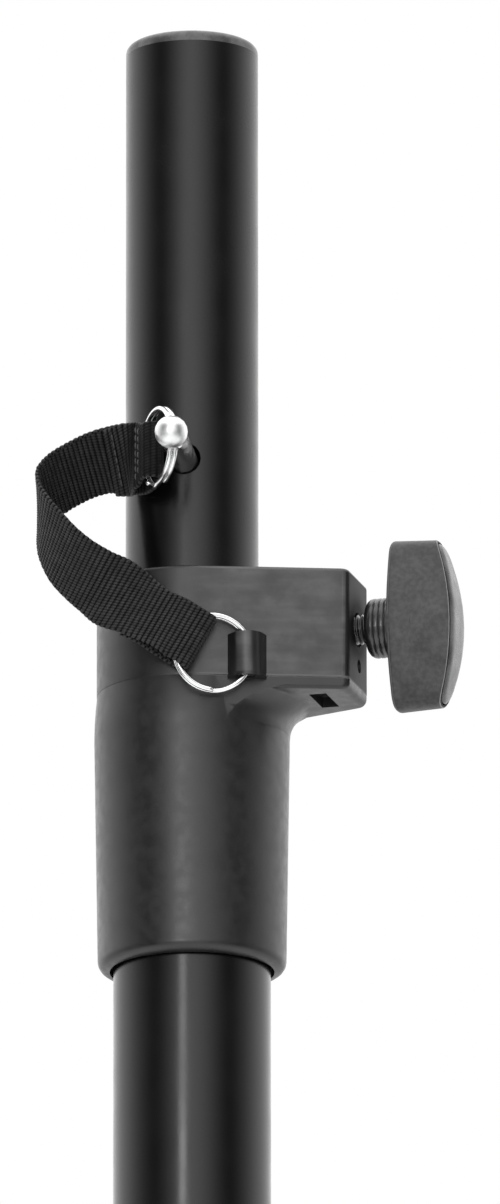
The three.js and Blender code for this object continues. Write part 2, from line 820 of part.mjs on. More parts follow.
function knobBody() {
  const front = knobBack + knobRim;
  const back = edgeRings(knobBack + knobEdgeRadius, -1, knobEdgeRadius, -knobBackBow).reverse();
  const softEdge = knobFrontStep / 2;
  const rim = edgeRings(front - softEdge, 1, softEdge, knobBow, knobDraft);
  const hub = turnedAboutX([
    [0, hubFace],
    ...arc(0, 0, hubEdgeRadius, Math.PI, rightAngle, filletSteps).map(([x, r]) => [
      hubDiameter / 2 - hubEdgeRadius + r, hubFace + hubEdgeRadius + x,
    ]),
    ...Array.from({ length: hubGrooveCount }, (_, i) => {
      const x = hubFace + hubEdgeRadius + (i + 1 / 2) * hubGroovePitch - hubGroovePitch / 4;
      return [[hubDiameter / 2, x], [hubDiameter / 2 - hubGroove, x + hubGroovePitch / 4],
        [hubDiameter / 2, x + hubGroovePitch / 2]];
    }).flat(),
    [hubDiameter / 2, knobBack + knobRim / 2],
    [0, knobBack + knobRim / 2],
  ], roundSteps / 2).translate(0, 0, screwZ);
  const ledge = knobDraft + knobFrontStep;
  const pocket = bowedLoft([
    { x: front - knobCapDepth, bow: knobBow, inset: ledge },
    { x: front + overrun, bow: knobBow, inset: ledge },
  ]);
  return cutAway(solid(bowedLoft([...back, ...rim])).add(solid(hub)), [
    pocket,
    crossRod(screwDiameter / 2 + restGap, hubFace - overrun, knobBoreEnd, screwZ),
  ]);
}

function knobCap() {
  const front = knobBack + knobRim;
  const inset = knobDraft + knobFrontStep + restGap;
  const crown = knobCrownShares.map(([rise, draw]) => ({
    x: front + knobCapProud * rise,
    bow: knobBow,
    inset: inset + knobCapProud * draw,
  }));
  return bowedLoft([{ x: front - knobCapDepth + restGap, bow: knobBow, inset }, ...crown]);
}
add('knob_body', geometryOf(knobBody()), blackPlastic);
add('knob_cap', knobCap(), greyPlastic);

// Locking pin, in a group turned so that its own -Y points out of the front hole

const pinGroup = new THREE.Group();
pinGroup.rotation.z = pinAzimuth;
pinGroup.position.z = pinZ;
group.add(pinGroup);

const ringThickness = 2 * ringWire + ringCoilGap;
const neckStart = ballAt - Math.sqrt((ballDiameter / 2) ** 2 - (pinNeckDiameter / 2) ** 2) - pinNeckLength;

function lockingPin() {
  const [r, ball] = [pinDiameter / 2, ballDiameter / 2];
  const meet = Math.asin(pinNeckDiameter / ballDiameter);
  const body = solid(turned([
    [0, -pinTip],
    [r - pinTipChamfer, -pinTip],
    [r, -pinTip + pinTipChamfer],
    [r, neckStart - pinNeckLength / 2],
    [pinNeckDiameter / 2, neckStart],
    ...arc(0, 0, ball, Math.PI - meet, 0, 2 * filletSteps + 4).map(([a, b]) => [Math.abs(b), ballAt + a]),
  ], smallSteps + 4).rotateX(rightAngle));
  // the ring's wire runs up through the eye, bowed by its own radius
  const bow = ringRadius - Math.sqrt(ringRadius ** 2 - r ** 2);
  const depth = ringWire + bow + 2 * restGap;
  const width = ringThickness + 2 * restGap;
  const eye = new THREE.BoxGeometry(width, depth, pinDiameter + overrun)
    .translate(0, -depth / 2 + ringWire / 2 + restGap + bow, 0)
    .rotateZ(upperRingTurn - pinAzimuth).translate(0, -eyeAt, 0);
  return cutAway(body, [eye]);
}
add('locking_pin', geometryOf(lockingPin()), chrome, pinGroup);

// Split rings: one wire wound nearly twice, with a jog where it climbs beside its first turn

function splitRing() {
  const rows = Math.round(ringSteps * ringTurns);
  const lift = ringWire + ringCoilGap;
  const end = ringTurns * fullTurn;
  const jogEnd = fullTurn;
  const middle = (angle) => {
    const climb = THREE.MathUtils.smoothstep(angle, jogEnd - ringJog, jogEnd);
    return new THREE.Vector3(
      ringRadius * Math.cos(angle), ringRadius * Math.sin(angle), lift * (climb - 1 / 2),
    );
  };
  const corners = [];
  const faces = [];
  for (let i = 0; i <= rows; i++) {
    const angle = (end * i) / rows;
    const centre = middle(angle);
    const out = new THREE.Vector3(Math.cos(angle), Math.sin(angle), 0);
    for (let j = 0; j < ringSides; j++) {
      const side = (fullTurn * (j + 1 / 2)) / ringSides;
      const p = centre.clone().addScaledVector(out, (Math.cos(side) * ringWire) / 2);
      corners.push(p.x, p.y, p.z + (Math.sin(side) * ringWire) / 2);
    }
  }
  for (let i = 0; i < rows; i++) {
    for (let j = 0; j < ringSides; j++) {
      const [a, b] = [i * ringSides + j, i * ringSides + ((j + 1) % ringSides)];
      faces.push(a, b, b + ringSides, a, b + ringSides, a + ringSides);
    }
  }
  const last = rows * ringSides;
  for (let j = 1; j + 1 < ringSides; j++) faces.push(0, j + 1, j, last, last + j, last + j + 1);
  const g = new THREE.BufferGeometry();
  g.setAttribute('position', new THREE.Float32BufferAttribute(corners, 3));
  g.setIndex(faces);
  return closed(g);
}

// The least distance between the wire's two turns, measured on its middle line
function leastCoilGap() {
  let least = Infinity;
  const lift = ringWire + ringCoilGap;
  const heightAt = (angle) =>
    lift * (THREE.MathUtils.smoothstep(angle, fullTurn - ringJog, fullTurn) - 1 / 2);
  for (let a = 0; a + fullTurn <= ringTurns * fullTurn; a += fullTurn / ringSteps) {
    least = Math.min(least, heightAt(a + fullTurn) - heightAt(a) - ringWire);
  }
  return least;
}
console.log(`least gap between the split ring's turns: ${leastCoilGap().toFixed(2)} mm`);

// A ring stands upright in a plane turned about Z, with its wire ends at the given place round it
function ringMesh(name, centre, planeTurn, endsAt) {
  const geometry = splitRing().rotateZ(endsAt).rotateX(rightAngle);
  const holder = new THREE.Group();
  holder.rotation.z = planeTurn;
  holder.position.copy(centre);
  group.add(holder);
  add(name, geometry, chrome, holder);
}

function onPanel(along, off, z) {
  const out = headRadius + off;
  return new THREE.Vector3(
    out * Math.sin(sideLean) + along * Math.cos(sideLean),
    -out * Math.cos(sideLean) + along * Math.sin(sideLean),
    z,
  );
}

const eyePoint = new THREE.Vector3(eyeAt * Math.sin(pinAzimuth), -eyeAt * Math.cos(pinAzimuth), pinZ);
const upperAway = new THREE.Vector3(-Math.sin(upperRingTurn), Math.cos(upperRingTurn), 0);
const upperCentre = eyePoint.clone().addScaledVector(upperAway, ringRadius);
const lugZ = headTop - lugTop - lugHeight / 2;
const channelDepth = lugProud - lugWall;
// the ring's wire bows inside the lug, so its outermost point lies half the bow off the channel's middle
const lugBow = ringRadius - Math.sqrt(ringRadius ** 2 - (lugHeight / 2) ** 2);
const lowerTurn = sideLean + lowerRingLift;
const lowerAway = new THREE.Vector3(-Math.cos(lowerTurn), -Math.sin(lowerTurn), 0);
const lowerCentre = onPanel(lugAlong + lugBow / 2, channelDepth / 2, lugZ)
  .addScaledVector(lowerAway, ringRadius);
const upperEndsAt = -60 * degree;
const lowerEndsAt = -48 * degree;
ringMesh('upper_split_ring', upperCentre, upperRingTurn + rightAngle, upperEndsAt);
ringMesh('lower_split_ring', lowerCentre, lowerTurn, lowerEndsAt);

// Retaining strap: webbing folded through each ring, sewn back on itself, and curled to the left

const wrapGap = ringThickness / 2 + restGap + strapThickness / 2;
const sewnGap = strapThickness / 2 + restGap / 2;
// the fold's middle, from the ring's centre: its inside stays clear of the wire at the strap's edges
const foldAt = (width) =>
  Math.sqrt((ringRadius - ringWire / 2) ** 2 - (width / 2) ** 2) - restGap + wrapGap - strapThickness / 2;
const toStrap = (v) => v.clone().applyAxisAngle(new THREE.Vector3(0, 0, 1), -strapFrame);
const upperPull = toStrap(upperAway);
const lowerPull = toStrap(lowerAway).multiplyScalar(Math.cos(strapLean))
  .add(new THREE.Vector3(0, 0, Math.sin(strapLean)));
const lowerAcross = toStrap(lowerAway).multiplyScalar(-Math.sin(strapLean))
  .add(new THREE.Vector3(0, 0, Math.cos(strapLean)));
const upperFold = toStrap(upperCentre).addScaledVector(upperPull, foldAt(strapUpperWidth));
const lowerFold = toStrap(lowerCentre).addScaledVector(lowerPull, foldAt(strapLowerWidth));

// a straight start from a ring's fold, past the ring's wire
function straightStart(fold, pull, width) {
  const past = ringRadius + strapPastRing - foldAt(width);
  return [0, 1 / 2, 1].map((share) => fold.clone().addScaledVector(pull, past * share));
}

const strapMiddle = new THREE.CatmullRomCurve3([
  ...straightStart(upperFold, upperPull, strapUpperWidth),
  ...strapRouteShares.map(([side, front, drop]) => new THREE.Vector3(
    -strapSide * side, -strapFront * front, pinZ + strapRise - strapDrop * drop,
  )),
  ...straightStart(lowerFold, lowerPull, strapLowerWidth).reverse(),
], false, 'centripetal');

const upright = new THREE.Vector3(0, 0, 1);
const strapAcross = new THREE.CatmullRomCurve3([
  upright, upright, upright,
  ...strapAcrossShares.map(([right, front, up]) => new THREE.Vector3(right, -front, up).normalize()),
  lowerAcross, lowerAcross, lowerAcross,
], false, 'centripetal');

function strapStation(share) {
  const along = strapMiddle.getTangentAt(share);
  const across = strapAcross.getPoint(strapMiddle.getUtoTmapping(share)).negate();
  across.addScaledVector(along, -across.dot(along)).normalize();
  const wide = THREE.MathUtils.smoothstep(share, ...strapWidenShares);
  const narrow = THREE.MathUtils.smoothstep(share, ...strapNarrowShares);
  const width = THREE.MathUtils.lerp(strapUpperWidth, strapWidth, wide)
    + (strapLowerWidth - strapWidth) * narrow;
  return {
    at: strapMiddle.getPointAt(share), along, across, width,
    thick: across.clone().cross(along).normalize(),
  };
}

function strapPath() {
  const length = strapMiddle.getLength();
  const sewn = strapSewnLength / length;
  // how far a layer stands off the middle: round the ring, then sewn, then the single web
  const standOff = (fromFold) => {
    const closing = THREE.MathUtils.smoothstep(fromFold / sewn, ...strapClosingShares);
    const single = THREE.MathUtils.smoothstep(fromFold / sewn, ...strapPartingShares);
    return THREE.MathUtils.lerp(THREE.MathUtils.lerp(wrapGap, sewnGap, closing), 0, single);
  };
  const layer = (share, side) => {
    const s = strapStation(share);
    const off = standOff(Math.min(share, 1 - share));
    return { ...s, at: s.at.clone().addScaledVector(s.thick, side * off) };
  };
  const fold = (share, turn) => {
    const s = strapStation(share);
    const back = s.along.clone().multiplyScalar(share < 1 / 2 ? -1 : 1);
    return Array.from({ length: strapFoldSteps - 1 }, (_, i) => {
      const angle = turn * (rightAngle - (Math.PI * (i + 1)) / strapFoldSteps);
      const thick = s.thick.clone().multiplyScalar(Math.sin(angle))
        .addScaledVector(back, Math.cos(angle));
      return { ...s, at: s.at.clone().addScaledVector(thick, wrapGap), thick };
    });
  };
  const upperFlap = Array.from({ length: strapFlapSteps }, (_, i) =>
    layer(sewn * (1 - i / strapFlapSteps), -1));
  const main = Array.from({ length: strapSteps + 1 }, (_, i) => layer(i / strapSteps, 1));
  const lowerFlap = Array.from({ length: strapFlapSteps }, (_, i) =>
    layer(1 - (sewn * (i + 1)) / strapFlapSteps, -1));
  return {
    upperFlap: [...upperFlap, layer(0, -1)],
    upperFold: fold(0, -1),
    main,
    lowerFold: fold(1, 1),
    lowerFlap: [layer(1, -1), ...lowerFlap],
  };
}

function strap() {
  const path = strapPath();
  const flip = (s) => ({ ...s, thick: s.thick.clone().negate() });
  const stations = [
    ...path.upperFlap.map(flip),
    ...path.upperFold,
    ...path.main,
    ...path.lowerFold,
    ...path.lowerFlap.map(flip),
  ];
  const corners = [];
  const faces = [];
  for (const { at, across, thick, width } of stations) {
    for (const [a, t] of [[-1, -1], [1, -1], [1, 1], [-1, 1]]) {
      const p = at.clone().addScaledVector(across, (a * width) / 2)
        .addScaledVector(thick, (t * strapThickness) / 2);
      corners.push(p.x, p.y, p.z);
    }
  }
  for (let i = 0; i + 1 < stations.length; i++) {
    for (let j = 0; j < 4; j++) {
      const [a, b] = [4 * i + j, 4 * i + ((j + 1) % 4)];
      faces.push(a, b, b + 4, a, b + 4, a + 4);
    }
  }
  const last = 4 * (stations.length - 1);
  faces.push(0, 2, 1, 0, 3, 2, last, last + 1, last + 2, last, last + 2, last + 3);
  const g = new THREE.BufferGeometry();
  g.setAttribute('position', new THREE.Float32BufferAttribute(corners, 3));
  g.setIndex(faces);
  return closed(g);
}

const strapGroup = new THREE.Group();
strapGroup.rotation.z = strapFrame;
group.add(strapGroup);
add('retaining_strap', strap(), webbing, strapGroup);

export default group;
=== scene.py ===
"""The looks of a telescoping speaker pole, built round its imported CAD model."""

import json
import math

import bpy
import numpy as np
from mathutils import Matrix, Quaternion, Vector


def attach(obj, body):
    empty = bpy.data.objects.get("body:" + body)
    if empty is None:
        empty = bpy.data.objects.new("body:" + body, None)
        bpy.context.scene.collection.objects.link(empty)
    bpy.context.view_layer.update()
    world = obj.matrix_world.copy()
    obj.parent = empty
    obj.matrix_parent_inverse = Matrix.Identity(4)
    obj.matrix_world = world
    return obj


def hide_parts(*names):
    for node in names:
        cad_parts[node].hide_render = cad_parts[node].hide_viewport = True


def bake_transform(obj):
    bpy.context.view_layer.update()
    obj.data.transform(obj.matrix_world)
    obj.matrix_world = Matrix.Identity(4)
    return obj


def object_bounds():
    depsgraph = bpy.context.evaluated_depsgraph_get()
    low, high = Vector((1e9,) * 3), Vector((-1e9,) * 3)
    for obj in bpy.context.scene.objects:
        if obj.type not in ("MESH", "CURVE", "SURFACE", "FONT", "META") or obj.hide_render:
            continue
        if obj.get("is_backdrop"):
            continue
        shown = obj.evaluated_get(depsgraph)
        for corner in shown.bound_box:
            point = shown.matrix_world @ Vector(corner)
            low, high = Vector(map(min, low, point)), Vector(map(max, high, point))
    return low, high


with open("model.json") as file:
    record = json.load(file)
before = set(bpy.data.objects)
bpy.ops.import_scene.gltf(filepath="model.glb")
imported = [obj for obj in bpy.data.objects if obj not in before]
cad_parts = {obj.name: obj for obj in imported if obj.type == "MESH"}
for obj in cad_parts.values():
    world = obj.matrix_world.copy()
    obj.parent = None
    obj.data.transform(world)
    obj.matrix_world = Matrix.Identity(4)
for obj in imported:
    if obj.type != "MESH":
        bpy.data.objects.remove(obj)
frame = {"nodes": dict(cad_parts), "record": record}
CAD_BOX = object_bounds()
NODES = frame["nodes"]
MM = 0.001
TURN = 2 * math.pi

# Places and sizes that the CAD source gives, in millimetres
PIN_Z = 621.9
SEAM_Z = 561.6
BRIM_Z = 590.7
SCREW_Z = 577.15
SCREW_RADIUS = 4
SCREW_PITCH = 1.25
THREAD_DEPTH = 0.75
SCREW_START = 24.1
SCREW_END = 63.95
WIRE = 1.1
RING_RADIUS = 10.2
RING_GAP = 0.45
RING_TURNS = 1.88
DRAWN_WIRE = 1.29  # the turns lie closer together than the solid's, within the same outside size
DRAWN_LIFT = WIRE + RING_GAP - (DRAWN_WIRE - WIRE)
RING_JOG = math.radians(40)
UPPER_RING = ((-0.504, -31.499, 621.9), math.radians(127.5), math.radians(-60))
LOWER_RING = ((12.597, -25.299, 566.6), math.radians(26.457), math.radians(-48))


# Camera, lights and backdrop

CAMERA_AZIMUTH = math.radians(15)
CAMERA_ELEVATION = math.radians(-15.5)
CAMERA_ROLL = math.radians(-0.05)
CAMERA_TARGET = Vector((14.53, 4.67, 588.286)) * MM
PICTURE_PIXELS = (500, 1204)
METRES_PER_PIXEL = 0.1316 / PICTURE_PIXELS[0]
LENS = 600
FLOOR_RADIUS = 1.5
# A plain studio: a soft box in front, dark sides and a bright wall behind, as levels of light
FRONT_LEVEL = 1.75
SIDE_LEVEL = 0.06
WALL_LEVEL = 1.4
# The angles round the pole, from the camera's side, at which the box ends, the sides are dark and the wall
# begins
FRONT_HALF = 10
SIDE_FROM = 42
SIDE_TO = 70
WALL_FROM = 108
STUDIO_LEVELS = (
    (-180, WALL_LEVEL), (-WALL_FROM, WALL_LEVEL), (-SIDE_TO, SIDE_LEVEL), (-SIDE_FROM, SIDE_LEVEL),
    (-FRONT_HALF, FRONT_LEVEL), (FRONT_HALF, FRONT_LEVEL),
    (SIDE_FROM, SIDE_LEVEL), (SIDE_TO, SIDE_LEVEL), (WALL_FROM, WALL_LEVEL), (180, WALL_LEVEL),
)
# Where the studio turns to a level of its own: from the horizon down, overhead and underfoot. Each row has
# the heights on the unit sphere where that starts and is complete, the level, and how fully it takes over
STUDIO_ENDS = ((0.05, -0.25, 0, 0.45), (0.62, 0.85, FRONT_LEVEL, 1), (-0.5, -0.8, 1.2, 1))
SENSOR = 36


def direction(azimuth, elevation):
    return Vector((
        math.sin(azimuth) * math.cos(elevation),
        -math.cos(azimuth) * math.cos(elevation),
        math.sin(elevation),
    ))


def make_camera():
    data = bpy.data.cameras.new("camera")
    data.lens = LENS
    data.sensor_width = SENSOR
    camera = bpy.data.objects.new("camera", data)
    bpy.context.scene.collection.objects.link(camera)
    back = direction(CAMERA_AZIMUTH, CAMERA_ELEVATION)
    distance = METRES_PER_PIXEL * PICTURE_PIXELS[1] * LENS / SENSOR
    camera.location = CAMERA_TARGET + back * distance
    level = (-back).to_track_quat("-Z", "Y")
    camera.rotation_euler = (level @ Quaternion((0, 0, 1), CAMERA_ROLL)).to_euler()
    bpy.context.scene.camera = camera


def make_light(name, azimuth, elevation, distance, width, height, power):
    """A soft box that faces the head of the pole, unseen by the camera. It lights everything."""
    data = bpy.data.lights.new(name, "AREA")
    data.shape = "RECTANGLE"
    data.size = width
    data.size_y = height
    data.energy = power
    light = bpy.data.objects.new(name, data)
    bpy.context.scene.collection.objects.link(light)
    away = direction(math.radians(azimuth), math.radians(elevation))
    light.location = CAMERA_TARGET + away * distance
    light.rotation_euler = (-away).to_track_quat("-Z", "Y").to_euler()
    light.visible_camera = False


def make_world():
    """White to the camera. The object sees a bright wall behind it, a soft front light and dark sides."""
    world = bpy.data.worlds.new("studio")
    bpy.context.scene.world = world
    world.use_nodes = True
    tree = world.node_tree
    tree.nodes.clear()
    add = tree.nodes.new
    link = tree.links.new
    path = add("ShaderNodeLightPath")
    coords = add("ShaderNodeTexCoord")
    angle = add("ShaderNodeMath")
    angle.operation = "ARCTAN2"
    for index, turn in ((0, math.radians(90)), (1, 0)):
        part = add("ShaderNodeVectorMath")
        part.operation = "DOT_PRODUCT"
        part.inputs[1].default_value = direction(CAMERA_AZIMUTH + turn, 0)
        link(coords.outputs["Generated"], part.inputs[0])
        link(part.outputs["Value"], angle.inputs[index])
    share = add("ShaderNodeMapRange")
    share.inputs["From Min"].default_value = -math.pi
    share.inputs["From Max"].default_value = math.pi
    link(angle.outputs[0], share.inputs["Value"])
    levels = add("ShaderNodeValToRGB")
    ramp = levels.color_ramp
    ramp.interpolation = "B_SPLINE"
    link(share.outputs["Result"], levels.inputs["Fac"])
    while len(ramp.elements) > 1:
        ramp.elements.remove(ramp.elements[-1])
    for index, (degrees, level) in enumerate(STUDIO_LEVELS):
        place = (degrees + 180) / 360
        element = ramp.elements[0] if index == 0 else ramp.elements.new(place)
        element.position = place
        element.color = (*[level / FRONT_LEVEL] * 3, 1)
    studio = add("ShaderNodeBackground")
    studio.inputs["Strength"].default_value = FRONT_LEVEL
    height = add("ShaderNodeVectorMath")
    height.operation = "DOT_PRODUCT"
    height.inputs[1].default_value = (0, 0, 1)
    link(coords.outputs["Generated"], height.inputs[0])
    shade = levels.outputs["Color"]
    for low, high, level, strength in STUDIO_ENDS:
        share = add("ShaderNodeMapRange")
        share.interpolation_type = "SMOOTHSTEP"
        share.inputs["From Min"].default_value = low
        share.inputs["From Max"].default_value = high
        share.inputs["To Max"].default_value = strength
        link(height.outputs["Value"], share.inputs["Value"])
        blend = add("ShaderNodeMix")
        blend.data_type = "RGBA"
        blend.inputs[7].default_value = (*[level / FRONT_LEVEL] * 3, 1)
        link(share.outputs["Result"], blend.inputs[0])
        link(shade, blend.inputs[6])
        shade = blend.outputs[2]
    link(shade, studio.inputs["Color"])
    seen = add("ShaderNodeBackground")
    seen.inputs["Color"].default_value = (1, 1, 1, 1)
    mix = add("ShaderNodeMixShader")
    link(path.outputs["Is Camera Ray"], mix.inputs["Fac"])
    link(studio.outputs[0], mix.inputs[1])
    link(seen.outputs[0], mix.inputs[2])
    link(mix.outputs[0], add("ShaderNodeOutputWorld").inputs["Surface"])


def make_floor():
    """A pale disc that fades out before its edge, and that is clear from below."""
    steps = 96
    angles = [TURN * i / steps for i in range(steps)]
    rim = [(FLOOR_RADIUS * math.cos(a), FLOOR_RADIUS * math.sin(a), CAD_BOX[0].z) for a in angles]
    mesh = bpy.data.meshes.new("floor")
    mesh.from_pydata(rim, [], [tuple(range(steps))])
    floor = bpy.data.objects.new("floor", mesh)
    bpy.context.scene.collection.objects.link(floor)
    floor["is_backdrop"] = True
    made = Shader("floor_white", (0.85, 0.85, 0.85), 0.9)
    reach = made.add("ShaderNodeVectorMath", {"operation": "LENGTH"})
    made.put(made.coords, reach.inputs[0])
    fade = made.ramp(reach.outputs["Value"], 0.35 * FLOOR_RADIUS, 0.95 * FLOOR_RADIUS)
    behind = made.add("ShaderNodeNewGeometry").outputs["Backfacing"]
    clear = made.add("ShaderNodeBsdfTransparent")
    mix = made.add("ShaderNodeMixShader", Fac=made.math("MAXIMUM", fade, behind))
    made.put(made.bsdf.outputs[0], mix.inputs[1])
    made.put(clear.outputs[0], mix.inputs[2])
    made.put(mix.outputs[0], made.tree.nodes["Material Output"].inputs["Surface"])
    mesh.materials.append(made.material)


# Materials

# How far out along X and Y the block's leaning sides face, as parts of their direction
SIDE_ALONG = 0.3414
SIDE_ACROSS = 0.9399


class Shader:
    """A Principled material with the few procedural layers that the pieces share."""

    def __init__(self, name, colour, roughness, metallic=0.0):
        self.material = bpy.data.materials.new(name)
        self.material.use_nodes = True
        self.tree = self.material.node_tree
        self.bsdf = self.tree.nodes["Principled BSDF"]
        self.bsdf.inputs["Base Color"].default_value = (*colour, 1)
        self.bsdf.inputs["Roughness"].default_value = roughness
        self.bsdf.inputs["Metallic"].default_value = metallic
        self.coords = self.add("ShaderNodeTexCoord").outputs["Object"]
        self.normal = None

    def add(self, kind, settings=None, **inputs):
        made = self.tree.nodes.new(kind)
        for key, value in (settings or {}).items():
            setattr(made, key, value)
        for key, value in inputs.items():
            self.put(value, made.inputs[key.replace("_", " ")])
        return made

    def put(self, value, socket):
        if isinstance(value, bpy.types.NodeSocket):
            self.tree.links.new(value, socket)
        else:
            socket.default_value = value

    def set(self, name, value):
        self.put(value, self.bsdf.inputs[name])

    def noise(self, size, stretch=(1, 1, 1), detail=3.0, coords=None):
        """Noise whose blobs are about size metres across, longer where stretch is above 1."""
        mapping = self.add("ShaderNodeMapping", Vector=coords or self.coords)
        mapping.inputs["Scale"].default_value = [1 / s for s in stretch]
        made = self.add("ShaderNodeTexNoise", Vector=mapping.outputs[0], Scale=1 / size, Detail=detail)
        return made.outputs[0]

    def ramp(self, value, low, high, to_low=0.0, to_high=1.0):
        made = self.add("ShaderNodeMapRange", {"interpolation_type": "SMOOTHSTEP"}, Value=value)
        for name, number in zip(("From Min", "From Max", "To Min", "To Max"), (low, high, to_low, to_high)):
            made.inputs[name].default_value = number
        return made.outputs[0]

    def mix(self, factor, a, b):
        made = self.add("ShaderNodeMix", {"data_type": "RGBA"})
        for index, value in ((0, factor), (6, a), (7, b)):
            ready = isinstance(value, (float, bpy.types.NodeSocket))
            self.put(value if ready else (*value, 1), made.inputs[index])
        return made.outputs[2]

    def math(self, operation, a, b):
        made = self.add("ShaderNodeMath", {"operation": operation})
        self.put(a, made.inputs[0])
        self.put(b, made.inputs[1])
        return made.outputs[0]

    def times(self, first, *others):
        for other in others:
            first = self.math("MULTIPLY", first, other)
        return first

    def away(self, value, place):
        """How far value is from place, either way."""
        return self.math("ABSOLUTE", self.math("SUBTRACT", value, place), 0.0)

    def from_axis(self, a, b):
        return self.math("SQRT", self.math("ADD", self.times(a, a), self.times(b, b)), 0.0)

    def place_and_facing(self):
        """The parts along X, Y and Z of the place in the object and of the direction that the surface faces."""
        normal = self.add("ShaderNodeNewGeometry").outputs["Normal"]
        return [self.add("ShaderNodeSeparateXYZ", Vector=v).outputs for v in (self.coords, normal)]

    def bump(self, height, depth):
        """Adds relief of depth metres where height goes from 0 to 1."""
        made = self.add("ShaderNodeBump", Height=height, Distance=depth, Strength=1.0)
        if self.normal:
            self.tree.links.new(self.normal, made.inputs["Normal"])
        self.normal = made.outputs[0]
        self.set("Normal", self.normal)


def powder_coat(name, roughness, shine):
    made = Shader(name, (0.0025, 0.0025, 0.0026), roughness)
    made.set("IOR", shine)
    blotches = made.ramp(made.noise(12 * MM), 0.3, 0.7, roughness - 0.03, roughness + 0.03)
    made.set("Roughness", blotches)
    made.bump(made.noise(0.9 * MM, detail=2.0), 0.010 * MM)
    return made.material


def moulded(name, colour, roughness, shine=1.6, patchy=0.25):
    made = Shader(name, colour, roughness)
    made.set("IOR", shine)
    cloud = made.ramp(made.noise(5 * MM, detail=5.0), 0.3, 0.7)
    dark, light = (tuple(c * (1 + side * patchy) for c in colour) for side in (-1, 1))
    made.set("Base Color", made.mix(cloud, dark, light))
    made.set("Roughness", made.ramp(made.noise(4 * MM), 0.3, 0.7, roughness - 0.04, roughness + 0.05))
    made.bump(made.noise(0.22 * MM, detail=2.0), 0.02 * MM)
    return made.material


# How far in front of the pole's axis the pin's neck ends and its ball is whole, in millimetres
BALL_FROM = 39.5
BALL_WHOLE = 41


def plated(name, colour, roughness, dull=1.0):
    """Plated metal, rougher by the factor dull on the pin's ball, which stands furthest out in front."""
    made = Shader(name, colour, roughness, 1.0)
    patchy = made.ramp(made.noise(2 * MM), 0.3, 0.7, roughness * 0.85, roughness * 1.2)
    out = made.add("ShaderNodeSeparateXYZ", Vector=made.coords).outputs[1]
    ball = made.ramp(out, -BALL_FROM * MM, -BALL_WHOLE * MM, 1.0, dull)
    made.set("Roughness", made.math("MULTIPLY", patchy, ball))
    made.bump(made.noise(0.6 * MM, detail=1.0), 0.0004 * MM)
    return made.material


def webbing():
    """Darker in the valleys between the ribs as painted shade and lighter on their crests as painted light,
    with a faint sheen of yarn on their crests.
    """
    made = Shader("webbing_black", (0.01, 0.01, 0.0105), 0.6)
    crest = made.ramp(made.add("ShaderNodeAttribute", {"attribute_name": "crest"}).outputs["Fac"], 0.35, 1.0)
    crest = made.math("POWER", crest, 1.8)
    cloud = made.ramp(made.noise(3 * MM), 0.3, 0.7, 0.7, 1.0)
    fibres = made.ramp(made.noise(0.12 * MM, detail=2.0), 0.3, 0.7, 0.6, 1.0)
    # Painted shade in the valleys and painted light on the crests; the same mask raises the yarn's real sheen
    crest_light_and_sheen = made.math("MULTIPLY", made.math("MULTIPLY", crest, cloud), fibres)
    made.set("Base Color", made.mix(crest_light_and_sheen, (0.0006, 0.0006, 0.0007), (0.034, 0.034, 0.035)))
    made.set("Specular IOR Level", made.ramp(crest_light_and_sheen, 0.0, 1.0, 0.08, 0.5))
    made.set("Sheen Weight", 0.05)
    made.bump(made.noise(0.15 * MM), 0.03 * MM)
    return made.material


